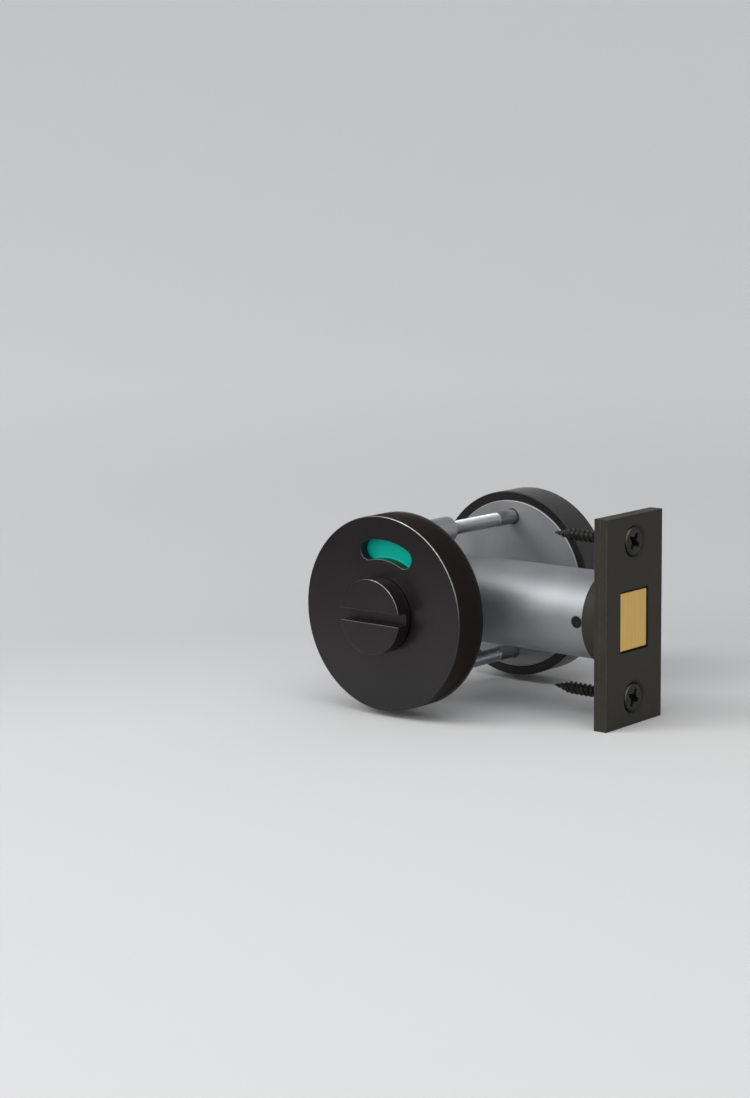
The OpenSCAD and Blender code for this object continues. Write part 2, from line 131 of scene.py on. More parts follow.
# Heads and shanks
HEAD_UNDER = 10.6
HEAD_EDGE = 0.3
SLOT_HALF_W = 1.6
SLOT_DEPTH = 3.0
SLOT_EDGE = 0.13
NECK_R = 6.005
UNDER_R = NECK_R + 1.0
DRIVE_R = 5.505
DRIVE_FLAT = 4.505
GROOVE_R = 4.605
CLIP_T = 0.6
OUTER_CLIP_H = 4.5
INNER_CLIP_H = 6.1
INNER_SHOULDER = 7.4
SOCKET_HALF = 2.55
SOCKET_TOP = 9.4

# Snib's blade
SNIB_HALF_W = 4.0
SNIB_SEAT = 0.4
SNIB_EDGE = 0.9

# Base plates and posts
BASE_BORE = 6.5
BASE_EDGE = 0.25
BASE_FLAT = 0.3
POST_GAP = 0.01
POST_BORE = 2.0
POST_FLOOR = 7.0
POST_EDGE = 0.4
POST_LIP = 0.3
KNURL_TEETH = 40
KNURL_DEPTH = 0.16
KNURL_START = 0.4
KNURL_RUN = 0.3
KNURL_L = 6.0
KNURL_CLEAR = 1.0
THROUGH_HOLE = 2.15
THROUGH_SINK = 4.05

# Faceplate, and forend with its collar
PLATE_EDGE = 0.14
FOREND_EDGE = 0.25
HOLE_EDGE = 0.1
COLLAR_L = 4.0
COLLAR_R = 12.4
COLLAR_BORE = 11.55
COLLAR_EDGE = 0.2
BOLT_GAP = 0.35
SINK_R = 4.65
SCREW_HOLE = 2.4

# Threads: pitch, radii of root, crest and tip, and length of taper
Thread = namedtuple("Thread", "pitch root crest taper_l tip")
WOOD_THREAD = Thread(pitch=1.5, root=1.2, crest=1.75, taper_l=5.0, tip=0.2)
MACHINE_THREAD = Thread(pitch=0.7, root=1.62, crest=1.95, taper_l=0.8, tip=1.1)
# Half the ridge's width as a share of the pitch, and the share of its height left at the tip
RIDGE_HALF = 0.3
TIP_RIDGE = 0.15

# Screws: lengths
SCREW_NECK = 2.1
THROUGH_NECK = 2.0
THROUGH_PLAIN_L = 12.0
NECK_RUN = 0.3
CROWN_H = 0.16
CROWN_ROUND = 0.4
RECESS_EDGE = 0.25
# Screws: shares of the head's radius
CROWN_FLAT = 0.74
ARM_HALF_L = 0.58
ARM_HALF_W = 0.165
RECESS_DEPTH = 0.42
# Crosses: shares of the arm's width, the share of an offset that widens the arms, and turns
RECESS_TAPER = 0.35
CROSS_TIP = 0.72
CROSS_EASE = 1.6875
CROSS_WIDEN = 0.6
CROSS_TURNS = {1: radians(-34), -1: radians(-27)}
THROUGH_TURN = radians(20)

# Edges of pieces that keep their CAD shape: those under a least length or a sharp angle stay as they are
EDGE_LEAST = 0.2
LONG_EDGE = 3.0
BOLT_EDGE = 0.45
SPINDLE_EDGE = 0.3
SHARP_ANGLE = radians(28)
FLAT_ANGLE = radians(0.2)

# Rubbed edges with painted highlights placed by bearing: bearings clockwise from the top, and shares of the
# full wear
HIGHLIGHT_BEARING = radians(34)
HIGHLIGHT_FULL = radians(20)
HIGHLIGHT_END = radians(58)
RUB_LEAST = 0.03
LIP_HIGHLIGHT = 0.4
BLADE_HIGHLIGHT = 0.25
SLOT_HIGHLIGHT_LOWER = 0.4
SLOT_HIGHLIGHT_UPPER = 0.05
SCREW_HIGHLIGHT_BEARING = radians(-50)
SCREW_HIGHLIGHT_END = radians(55)

# Fineness of the meshes
ROUND = 160
HOLE_ROUND = 64
SMALL_ROUND = 48
FILLET_STEPS = 4
BLADE_STEPS = 6
BEVEL_STEPS = 2
HEAD_ARC = 60
HEAD_END = 12
HEAD_CHORD = 24
THREAD_ROWS = 12
SMOOTH_ANGLE = radians(32)
SAME_POINT = 0.0001


def axes(origin, right, up, out):
    """Matrix from a local frame in millimetres to the shared frame in metres."""
    columns = [Vector(axis) * MM for axis in (right, up, out)]
    matrix = Matrix.Identity(4)
    for index, column in enumerate(columns):
        for row in range(3):
            matrix[row][index] = column[row]
    matrix.translation = Vector(origin) * MM
    return matrix


OUTSIDE = axes((0, 0, 0), (1, 0, 0), (0, 0, 1), (0, -1, 0))
INSIDE = axes((0, DOOR_T, 0), (-1, 0, 0), (0, 0, 1), (0, 1, 0))


def edge_frame(x):
    """Local frame on the door's edge, at a distance along X."""
    return axes((x, MID_Y, 0), (0, 1, 0), (0, 0, 1), (1, 0, 0))


def turn_outwards(bm):
    """Turns the faces of each separate body outwards, by the sign of the body's volume."""
    left = set(bm.faces)
    while left:
        body = [left.pop()]
        for face in body:
            for edge in face.edges:
                for near in edge.link_faces:
                    if near in left:
                        left.remove(near)
                        body.append(near)
        volume = 0.0
        for face in body:
            first, *rest = [vert.co for vert in face.verts]
            for second, third in zip(rest, rest[1:]):
                volume += first.dot(second.cross(third))
        if volume < 0:
            bmesh.ops.reverse_faces(bm, faces=body)


class Shell:
    """A mesh in the making: rings of points in a local frame, joined by faces."""

    def __init__(self):
        self.bm = bmesh.new()
        self.wear_and_highlight = self.bm.verts.layers.float.new("wear_and_highlight")

    def ring(self, points, wear_and_highlight=0.0, share_by_place=None):
        """Loop of points with a wear, which a share by place scales into wear and painted highlights."""
        made = []
        for point in points:
            vert = self.bm.verts.new(point)
            vert[self.wear_and_highlight] = wear_and_highlight * share_by_place(point) if share_by_place else wear_and_highlight
            made.append(vert)
        return made

    def bridge(self, first, second):
        count = len(first)
        for i in range(count):
            j = (i + 1) % count
            self.bm.faces.new((first[i], first[j], second[j], second[i]))

    def chain(self, rings):
        for first, second in zip(rings, rings[1:]):
            self.bridge(first, second)
        return rings[0], rings[-1]

    def loft(self, outline, profile, share_by_place=None):
        """Carries an outline along (offset, height, wear) steps, and returns its two end rings."""
        rings = []
        for offset, height, wear_and_highlight in profile:
            rings.append(self.ring([(u, v, height) for u, v in outline(offset)], wear_and_highlight, share_by_place))
        return self.chain(rings)

    def fill(self, *rings):
        """Flat face between an outer ring and any rings inside it."""
        edges = []
        for ring in rings:
            for first, second in zip(ring, ring[1:] + ring[:1]):
                edges.append(self.bm.edges.get((first, second)) or self.bm.edges.new((first, second)))
        bmesh.ops.triangle_fill(self.bm, use_beauty=True, use_dissolve=False, edges=edges)

    def mesh(self, name, matrix=None):
        bmesh.ops.remove_doubles(self.bm, verts=self.bm.verts, dist=SAME_POINT)
        if matrix:
            self.bm.transform(matrix)
        bmesh.ops.recalc_face_normals(self.bm, faces=self.bm.faces)
        turn_outwards(self.bm)
        made = bpy.data.meshes.new(name)
        self.bm.to_mesh(made)
        self.bm.free()
        return made


def rounded(corners, steps=FILLET_STEPS):
    """Profile through (offset, height, fillet) corners, as (offset, height, wear) steps."""
    profile = []
    for index, (offset, height, fillet) in enumerate(corners):
        here = Vector((offset, height))
        if not fillet:
            profile.append((offset, height, 0.0))
            continue
        back = (Vector(corners[index - 1][:2]) - here).normalized()
        ahead = (Vector(corners[index + 1][:2]) - here).normalized()
        half = back.angle(ahead) / 2
        centre = here + (back + ahead).normalized() * fillet / sin(half)
        start = here + back * fillet / tan(half) - centre
        end = here + ahead * fillet / tan(half) - centre
        turn = pi - 2 * half
        for step in range(steps + 1):
            share = step / steps
            point = centre + (start * sin((1 - share) * turn) + end * sin(share * turn)) / sin(turn)
            profile.append((point.x, point.y, 1.0 if 0 < step < steps else 0.0))
    return profile


def eased(value, low, high):
    """Smooth step from 0 at low to 1 at high; high may lie below low."""
    share = min(1.0, max(0.0, (value - low) / (high - low)))
    return share * share * (3 - 2 * share)


def turn_between(point, bearing):
    """Angle between a point and a bearing, seen from the middle of the frame."""
    away = abs(atan2(point[0], point[1]) - bearing)
    return min(away, 2 * pi - away)


def rim_wear_and_highlight(point):
    """Wear round a rim, with a painted highlight at its upper right."""
    return RUB_LEAST + (1 - RUB_LEAST) * eased(turn_between(point, HIGHLIGHT_BEARING), HIGHLIGHT_END, HIGHLIGHT_FULL)


def rose_wear_and_highlight(point):
    """Wear and a painted highlight round a rose's face; its foot lies against the door and keeps its
    finish.
    """
    return rim_wear_and_highlight(point) if point[2] > ROSE_H / 2 else 0.0


def blade_wear_and_highlight(point):
    """Wear round the snib's blade, with a faint painted highlight at its upper right."""
    return BLADE_HIGHLIGHT * rim_wear_and_highlight(point)


def unrubbed(point):
    """No wear at all."""
    return 0.0


def lip_wear_and_highlight(point):
    """Wear round the window, painted as a highlight along its lower edge only."""
    high, low = WINDOW_R + WINDOW_HALF_W / 2, WINDOW_R - WINDOW_HALF_W / 2
    return LIP_HIGHLIGHT * eased(hypot(point[0], point[1]), high, low)


def head_wear_and_highlight(point):
    """Wear on the slotted head with painted highlights: at its rim's upper right, and more on the slot's
    lower edge than its upper.
    """
    if abs(point[1]) > SLOT_HALF_W + 2 * SLOT_EDGE:
        return rim_wear_and_highlight(point)
    return SLOT_HIGHLIGHT_LOWER if point[1] < 0 else SLOT_HIGHLIGHT_UPPER


def circle(count=ROUND, centre=(0, 0)):
    """Outline whose offset is its radius."""
    angles = [2 * pi * i / count for i in range(count)]

    def outline(radius):
        return [(centre[0] + radius * cos(angle), centre[1] + radius * sin(angle)) for angle in angles]
    return outline


def rectangle(half_u, half_v):
    def outline(offset):
        u, v = half_u + offset, half_v + offset
        return [(u, v), (-u, v), (-u, -v), (u, -v)]
    return outline


def window(offset):
    """Arc slot near the top of the rose, turned with it."""
    half_w = WINDOW_HALF_W + offset
    arc_steps, end_steps = 40, 20
    points = []

    def add(centre_r, radius, bearing, centre_bearing):
        points.append((centre_r * sin(centre_bearing) + radius * sin(bearing),
                       centre_r * cos(centre_bearing) + radius * cos(bearing)))

    for i in range(arc_steps + 1):
        bearing = ROSE_TURN + WINDOW_HALF_SPAN * (2 * i / arc_steps - 1)
        add(0, WINDOW_R + half_w, bearing, 0)
    right = ROSE_TURN + WINDOW_HALF_SPAN
    for i in range(1, end_steps):
        add(WINDOW_R, half_w, right + pi * i / end_steps, right)
    for i in range(arc_steps + 1):
        bearing = ROSE_TURN + WINDOW_HALF_SPAN * (1 - 2 * i / arc_steps)
        add(0, WINDOW_R - half_w, bearing, 0)
    left = ROSE_TURN - WINDOW_HALF_SPAN
    for i in range(1, end_steps):
        add(WINDOW_R, half_w, left + pi + pi * i / end_steps, left)
    return points


def rose(with_window):
    """Turned cap with softened edges, bored for its bush, and with or without the window."""
    shell = Shell()
    face_in = ROSE_H - FACE_T
    cap_r = ROSE_R - WALL_T
    front, back = shell.loft(circle(), rounded([
        (ROSE_R - 2 * ROSE_EDGE, ROSE_H, 0), (ROSE_R, ROSE_H, ROSE_EDGE), (ROSE_R, 0, ROSE_FOOT),
        (cap_r, 0, ROSE_FOOT), (cap_r, face_in, 0)]), rose_wear_and_highlight)
    bore_front, bore_back = shell.loft(circle(), rounded([
        (BUSH_R + 2 * BORE_EDGE, ROSE_H, 0), (BUSH_R, ROSE_H, BORE_EDGE), (BUSH_R, face_in, 0)]))
    fronts, backs = [front, bore_front], [back, bore_back]
    if with_window:
        lip, sill = shell.loft(window, rounded([
            (2 * WINDOW_EDGE, ROSE_H, 0), (0, ROSE_H, WINDOW_EDGE), (0, face_in, 0)]), lip_wear_and_highlight)
        fronts.append(lip)
        backs.append(sill)
    shell.fill(*fronts)
    shell.fill(*backs)
    return shell


def segment(bearing):
    """Face that fills an arc of the disc, centred on a bearing from the window."""
    shell = Shell()
    cove_steps, arc_steps = 6, 60
    profile = [(SEGMENT_IN, DISC_TOP), (SEGMENT_IN, LEDGE_H)]
    for i in range(cove_steps + 1):
        share = i / cove_steps
        profile.append((LEDGE_R + (COVE_R - LEDGE_R) * share,
                        SEGMENT_TOP + (LEDGE_H - SEGMENT_TOP) * (1 - share) ** 2))
    profile += [(SEGMENT_OUT - SEGMENT_EDGE, SEGMENT_TOP), (SEGMENT_OUT, SEGMENT_TOP - SEGMENT_EDGE),
                (SEGMENT_OUT, DISC_TOP)]
    rings = []
    for i in range(arc_steps + 1):
        angle = ROSE_TURN + bearing + SEGMENT_HALF * (2 * i / arc_steps - 1)
        rings.append(shell.ring([(r * sin(angle), r * cos(angle), h) for r, h in profile]))
    first, last = shell.chain(rings)
    shell.fill(first)
    shell.fill(last)
    return shell


def head_angles():
    """Angles round a slotted head, with points at the slot's corners."""
    corner = asin(SLOT_HALF_W / HEAD_R)
    angles = []
    for side in (0, pi):
        angles += [side + corner + (pi - 2 * corner) * i / HEAD_ARC for i in range(HEAD_ARC + 1)]
        angles += [side + pi - corner + 2 * corner * i / HEAD_END for i in range(1, HEAD_END)]
    return angles


def shank(shell, ring, angles, shoulder, clip_h):
    """Neck, flatted drive, clip groove and square socket, carried on from a head's lower ring."""
    def section(radius, flat, height):
        points = []
        for angle in angles:
            across = abs(cos(angle))
            reach = flat / across if radius * across > flat else radius
            points.append((reach * cos(angle), reach * sin(angle), height))
        return shell.ring(points)

    clip_top = clip_h + CLIP_T
    sections = [ring, section(NECK_R, NECK_R, HEAD_UNDER), section(NECK_R, NECK_R, shoulder)]
    for radius, height in ((DRIVE_R, shoulder), (DRIVE_R, clip_top), (GROOVE_R, clip_top),
                           (GROOVE_R, clip_h), (DRIVE_R, clip_h), (DRIVE_R, SHANK_END)):
        sections.append(section(radius, DRIVE_FLAT, height))
    end = shell.chain(sections)[1]
    mouth, floor = shell.loft(rectangle(SOCKET_HALF, SOCKET_HALF),
                              [(0, SHANK_END, 0), (0, SOCKET_TOP, 0)])
    shell.fill(end, mouth)
    shell.fill(floor)


def half_moon(side):
    """Outline of a slotted head's face on one side of its slot."""
    sign = -1 if side else 1

    def outline(offset):
        radius, level = HEAD_R + offset, SLOT_HALF_W - offset
        corner = asin(level / radius)
        half_chord = radius * cos(corner)
        angles = [corner + (pi - 2 * corner) * i / HEAD_ARC for i in range(HEAD_ARC + 1)]
        points = [(radius * cos(angle), radius * sin(angle)) for angle in angles]
        points += [(half_chord * (2 * i / HEAD_CHORD - 1), level) for i in range(1, HEAD_CHORD)]
        return [(sign * u, sign * v) for u, v in points]
    return outline


def coin_release():
    """Round head cut by a coin slot, in one with its shank."""
    shell = Shell()
    angles = head_angles()
    slot_floor = HEAD_TOP - SLOT_DEPTH

    def wall(radius):
        return [(radius * cos(angle), radius * sin(angle)) for angle in angles]

    rim, under = shell.loft(wall, rounded([
        (HEAD_R, slot_floor, 0), (HEAD_R, HEAD_UNDER, HEAD_EDGE), (UNDER_R, HEAD_UNDER, 0)]), rim_wear_and_highlight)
    shank(shell, under, angles, DISC_TOP, OUTER_CLIP_H)
    floor = []
    for side in (0, 1):
        outline = half_moon(side)
        start = side * (HEAD_ARC + HEAD_END)
        arc = [rim[start + i] for i in range(HEAD_ARC + 1)]
        chord = shell.ring([(u, v, slot_floor) for u, v in outline(0)[HEAD_ARC + 1:]])
        foot, top = shell.loft(outline, rounded([
            (0, HEAD_TOP - 2 * HEAD_EDGE, 0), (0, HEAD_TOP, SLOT_EDGE),
            (-2 * SLOT_EDGE, HEAD_TOP, 0)]), head_wear_and_highlight)
        shell.bridge(arc + chord, foot)
        shell.fill(top)
        end_arc = [rim[(start + HEAD_ARC + i) % len(rim)] for i in range(HEAD_END + 1)]
        floor += chord[::-1] + end_arc
    shell.fill(floor)
    return shell


def snib_plan(offset):
    """Plan of the snib's blade: a slice through a disc."""
    radius, half_w = snib_high.z + offset, SNIB_HALF_W + offset
    corner = asin(half_w / radius)
    steps = 12
    points = []
    for side in (0, pi):
        middle = side + pi / 2
        points += [(radius * cos(middle + corner * (2 * i / steps - 1)),
                    radius * sin(middle + corner * (2 * i / steps - 1))) for i in range(steps + 1)]
    return points


def snib_boss():
    """Boss and shank of the snib."""
    shell = Shell()
    angles = [2 * pi * i / ROUND for i in range(ROUND)]
    top, under = shell.loft(circle(), rounded([
        (HEAD_R - 2 * HEAD_EDGE, HEAD_TOP, 0), (HEAD_R, HEAD_TOP, HEAD_EDGE),
        (HEAD_R, HEAD_UNDER, HEAD_EDGE), (UNDER_R, HEAD_UNDER, 0)]), rim_wear_and_highlight)
    shell.fill(top)
    shank(shell, under, angles, INNER_SHOULDER, INNER_CLIP_H)
    return shell


def snib_blade():
    """Blade of the snib, let a little way into its boss."""
    shell = Shell()
    blade_top = snib_high.y - DOOR_T
    foot, top = shell.loft(snib_plan, rounded([
        (-2 * SNIB_SEAT, HEAD_TOP, 0), (0, HEAD_TOP, SNIB_SEAT),
        (0, blade_top, SNIB_EDGE), (-2 * SNIB_EDGE, blade_top, 0)], BLADE_STEPS), blade_wear_and_highlight)
    shell.fill(foot)
    shell.fill(top)
    return shell


def base_plate(hole_r, sink_r):
    """Disc behind a rose, with its bore and two holes; a sink radius above the hole's countersinks it."""
    shell = Shell()
    lower, upper = shell.loft(circle(), rounded([
        (BASE_R - BASE_FLAT, 0, 0), (BASE_R, 0, BASE_EDGE),
        (BASE_R, BASE_T, BASE_EDGE), (BASE_R - BASE_FLAT, BASE_T, 0)]))
    lowers, uppers = [lower], [upper]
    holes = [(circle(), BASE_BORE, BASE_BORE)]
    for side in (-1, 1):
        holes.append((circle(SMALL_ROUND, (0, side * POST_Z)), hole_r, sink_r))
    for outline, radius, mouth in holes:
        corners = [(radius + BASE_FLAT, 0, 0), (radius, 0, BASE_EDGE)]
        if mouth > radius:
            corners += [(radius, BASE_T - (mouth - radius), 0), (mouth, BASE_T, 0)]
        else:
            corners += [(radius, BASE_T, BASE_EDGE), (radius + BASE_FLAT, BASE_T, 0)]
        first, last = shell.loft(outline, rounded(corners))
        lowers.append(first)
        uppers.append(last)
    shell.fill(*lowers)
    shell.fill(*uppers)
    return shell


def clamp_posts():
    """Two posts with a knurled root and a bore for a through bolt."""
    shell = Shell()
    per_tooth = 4
    count = KNURL_TEETH * per_tooth

    def toothed(centre, depth, height):
        points = []
        for i in range(count):
            radius = POST_R - depth * abs((i % per_tooth) / per_tooth * 2 - 1)
            angle = 2 * pi * i / count
            points.append((radius * cos(angle), centre + radius * sin(angle), height))
        return shell.ring(points)

    for side in (-1, 1):
        centre = side * POST_Z
        outline = circle(count, (0, centre))
        front, root = shell.loft(outline, rounded([
            (POST_R - 2 * POST_EDGE, BASE_T, 0), (POST_R, BASE_T, POST_EDGE), (POST_R, 0, 0)]))
        knurl = [toothed(centre, depth, -height) for depth, height in (
            (0, KNURL_START), (KNURL_DEPTH, KNURL_START + KNURL_RUN),
            (KNURL_DEPTH, KNURL_L), (0, KNURL_L + KNURL_RUN))]
        shank_top = shell.chain([root] + knurl)[1]
        first, mouth = shell.loft(outline, rounded([
            (POST_R, -KNURL_L - KNURL_CLEAR, 0), (POST_R, POST_END, POST_EDGE),
            (POST_BORE + POST_LIP, POST_END, 0)]))
        shell.bridge(shank_top, first)
        lip, floor = shell.loft(outline, [(POST_BORE, POST_END + POST_LIP, 0), (POST_BORE, -POST_FLOOR, 0)])
        shell.bridge(mouth, lip)
        shell.fill(front)
        shell.fill(floor)
    return shell


def cross(half_l, half_w, turn):
    """Cross recess with eased inner corners; its offset widens and lengthens the arms."""
    def outline(offset):
        reach, width = half_l + offset, half_w + offset * CROSS_WIDEN
        tip, ease = width * CROSS_TIP, width * CROSS_EASE
        arm = [(reach, -tip), (reach, tip), (ease, width), (width, ease)]
        points = []
        for step in range(4):
            angle = turn + step * pi / 2
            points += [(u * cos(angle) - v * sin(angle), u * sin(angle) + v * cos(angle)) for u, v in arm]
        return points
    return outline


def thread(shell, ring, centre, top, bottom, shape):
    """Screw thread from one height down to another, carried on from a ring and closed at its tip."""
    count = len(ring)
    rows = round((top - bottom) / shape.pitch * THREAD_ROWS)
    rings = [ring]
    for row in range(rows + 1):
        height = top + (bottom - top) * row / rows
        fade = min(1.0, (top - height) / shape.pitch)
        slim = min(1.0, (height - bottom) / shape.taper_l)
        core = shape.tip + (shape.root - shape.tip) * slim
        points = []
        for i in range(count):
            angle = 2 * pi * i / count
            phase = (height / shape.pitch - i / count) % 1.0
            ridge = max(0.0, 1.0 - abs(phase - 0.5) / RIDGE_HALF)
            reach = core + (shape.crest - shape.root) * ridge * fade * (TIP_RIDGE + (1 - TIP_RIDGE) * slim)
            points.append((centre[0] + reach * cos(angle), centre[1] + reach * sin(angle), height))
        rings.append(shell.ring(points))
    shell.fill(shell.chain(rings)[1])


def cross_head_screw(shell, v, top, head_r, neck_r, plain_end, tip_h, shape, turn):
    """Countersunk screw with a cross recess, pointing down from its head."""
    outline = circle(SMALL_ROUND, (0, v))
    arm_w = head_r * ARM_HALF_W
    centre_cross = cross(head_r * ARM_HALF_L, arm_w, turn)

    def placed_cross(offset):
        return [(u, v + w) for u, w in centre_cross(offset)]

    # Painted highlight: wear placed on the upper left of the head's rim and recess
    def screw_wear_and_highlight(point):
        return eased(turn_between((point[0], point[1] - v), SCREW_HIGHLIGHT_BEARING), SCREW_HIGHLIGHT_END, 0)

    rim = top - CROWN_H
    face, neck = shell.loft(outline, rounded([
        (head_r * CROWN_FLAT, top, 0), (head_r, rim, CROWN_ROUND),
        (neck_r, rim - (head_r - neck_r), 0), (neck_r, plain_end + NECK_RUN, 0)]), screw_wear_and_highlight)
    lip, floor = shell.loft(placed_cross, rounded([
        (RECESS_EDGE, top, 0), (0, top, RECESS_EDGE / 2),
        (-arm_w * RECESS_TAPER, top - head_r * RECESS_DEPTH, 0)]), screw_wear_and_highlight)
    shell.fill(face, lip)
    shell.fill(floor)
    thread(shell, neck, (0, v), plain_end, tip_h, shape)


def faceplate_screws():
    """Two wood screws with black cross heads."""
    shell = Shell()
    plain_end = plate_low.x - screw_high.x - PLATE_T
    for side in (1, -1):
        cross_head_screw(shell, side * SCREW_SPREAD, 0, SCREW_HEAD_R, SCREW_NECK, plain_end,
                         screw_low.x - screw_high.x, WOOD_THREAD, CROSS_TURNS[side])
    return shell


def through_bolts():
    """Two machine screws that clamp the roses."""
    shell = Shell()
    head_r = through_high.x
    spread = through_high.z - head_r
    top = through_high.y - DOOR_T
    for side in (1, -1):
        cross_head_screw(shell, side * spread, top, head_r, THROUGH_NECK, top - THROUGH_PLAIN_L,
                         through_low.y - DOOR_T, MACHINE_THREAD, side * THROUGH_TURN)
    return shell


def edge_plate(shell, thickness, edge):
    """Rim of a plate on the door's edge; returns its front and back rings."""
    outline = rectangle((plate_high.y - plate_low.y) / 2, plate_high.z)
    return shell.loft(outline, rounded([
        (-2 * edge, 0, 0), (0, 0, edge), (0, -thickness, edge), (-2 * edge, -thickness, 0)]))


def plate_holes(bolt_corners, screw_corners):
    """Outlines and corners of the bolt's hole and the two screw holes."""
    half_y = (bolt_high.y - bolt_low.y) / 2 + BOLT_GAP
    holes = [(rectangle(half_y, bolt_high.z + BOLT_GAP), bolt_corners)]
    for side in (-1, 1):
        holes.append((circle(HOLE_ROUND, (0, side * SCREW_SPREAD)), screw_corners))
    return holes


def faceplate():
    """Finish plate with crisp edges, two countersinks and the bolt's hole."""
    shell = Shell()
    front, back = edge_plate(shell, PLATE_T, PLATE_EDGE)
    fronts, backs = [front], [back]
    for outline, corners in plate_holes(
            [(2 * HOLE_EDGE, 0, 0), (0, 0, HOLE_EDGE), (0, -PLATE_T, 0)],
            [(SINK_R + 2 * HOLE_EDGE, 0, 0), (SINK_R, 0, HOLE_EDGE), (SINK_R - PLATE_T, -PLATE_T, 0)]):
        first, last = shell.loft(outline, rounded(corners), unrubbed)
        fronts.append(first)
        backs.append(last)
    shell.fill(*fronts)
    shell.fill(*backs)
    return shell


def forend():
    """Plate behind the faceplate, with the bolt's hole, two screw holes and a collar for the case."""
    shell = Shell()
    forend_t = forend_high.x - forend_low.x - COLLAR_L
    collar_end = -forend_t - COLLAR_L
    front, back = edge_plate(shell, forend_t, FOREND_EDGE)
    foot, bore = shell.loft(circle(), rounded([
        (COLLAR_R, -forend_t, 0), (COLLAR_R, collar_end, COLLAR_EDGE),
        (COLLAR_BORE, collar_end, COLLAR_EDGE), (COLLAR_BORE, -forend_t, 0)]))
    bolt_hole, *screw_holes = plate_holes([(0, 0, 0), (0, -forend_t, 0)],
                                          [(SCREW_HOLE, 0, 0), (SCREW_HOLE, -forend_t, 0)])
    mouth, floor = shell.loft(*bolt_hole)
    fronts, backs = [front, mouth], [back, foot]
    for outline, corners in screw_holes:
        first, last = shell.loft(outline, corners)
        fronts.append(first)
        backs.append(last)
    shell.fill(*fronts)
    shell.fill(*backs)
    shell.fill(bore, floor)
    return shell


def dressed(node, width, least):
    """Copy of a CAD node's mesh with its sharp edges of a least length rounded."""
    bm = bmesh.new()
    bm.from_mesh(frame["nodes"][node].data)
    bmesh.ops.remove_doubles(bm, verts=bm.verts, dist=SAME_POINT * MM)
    bmesh.ops.dissolve_limit(bm, angle_limit=FLAT_ANGLE, verts=bm.verts, edges=bm.edges)
    sharp = [edge for edge in bm.edges if len(edge.link_faces) == 2
             and edge.calc_face_angle() > SHARP_ANGLE and edge.calc_length() > least * MM]
    made = bmesh.ops.bevel(bm, geom=sharp, offset=width * MM, offset_type="OFFSET", segments=BEVEL_STEPS,
                           profile=0.5, affect="EDGES", clamp_overlap=True)
    wear_and_highlight = bm.verts.layers.float.new("wear_and_highlight")
    fresh = set(made["faces"])
    for vert in made["verts"]:
        if vert.is_valid and all(face in fresh for face in vert.link_faces):
            vert[wear_and_highlight] = 1.0
    mesh = bpy.data.meshes.new(node)
    bm.to_mesh(mesh)
    bm.free()
    return mesh


def srgb(red, green, blue):
    """Linear colour from display values of 0 to 255."""
    def linear(value):
        share = value / 255
        return share / 12.92 if share <= 0.04045 else ((share + 0.055) / 1.055) ** 2.4
    return linear(red), linear(green), linear(blue), 1.0


# How far a seed moves a texture along each axis
SEED_SHIFT = (1.0, 1.7, 2.3)


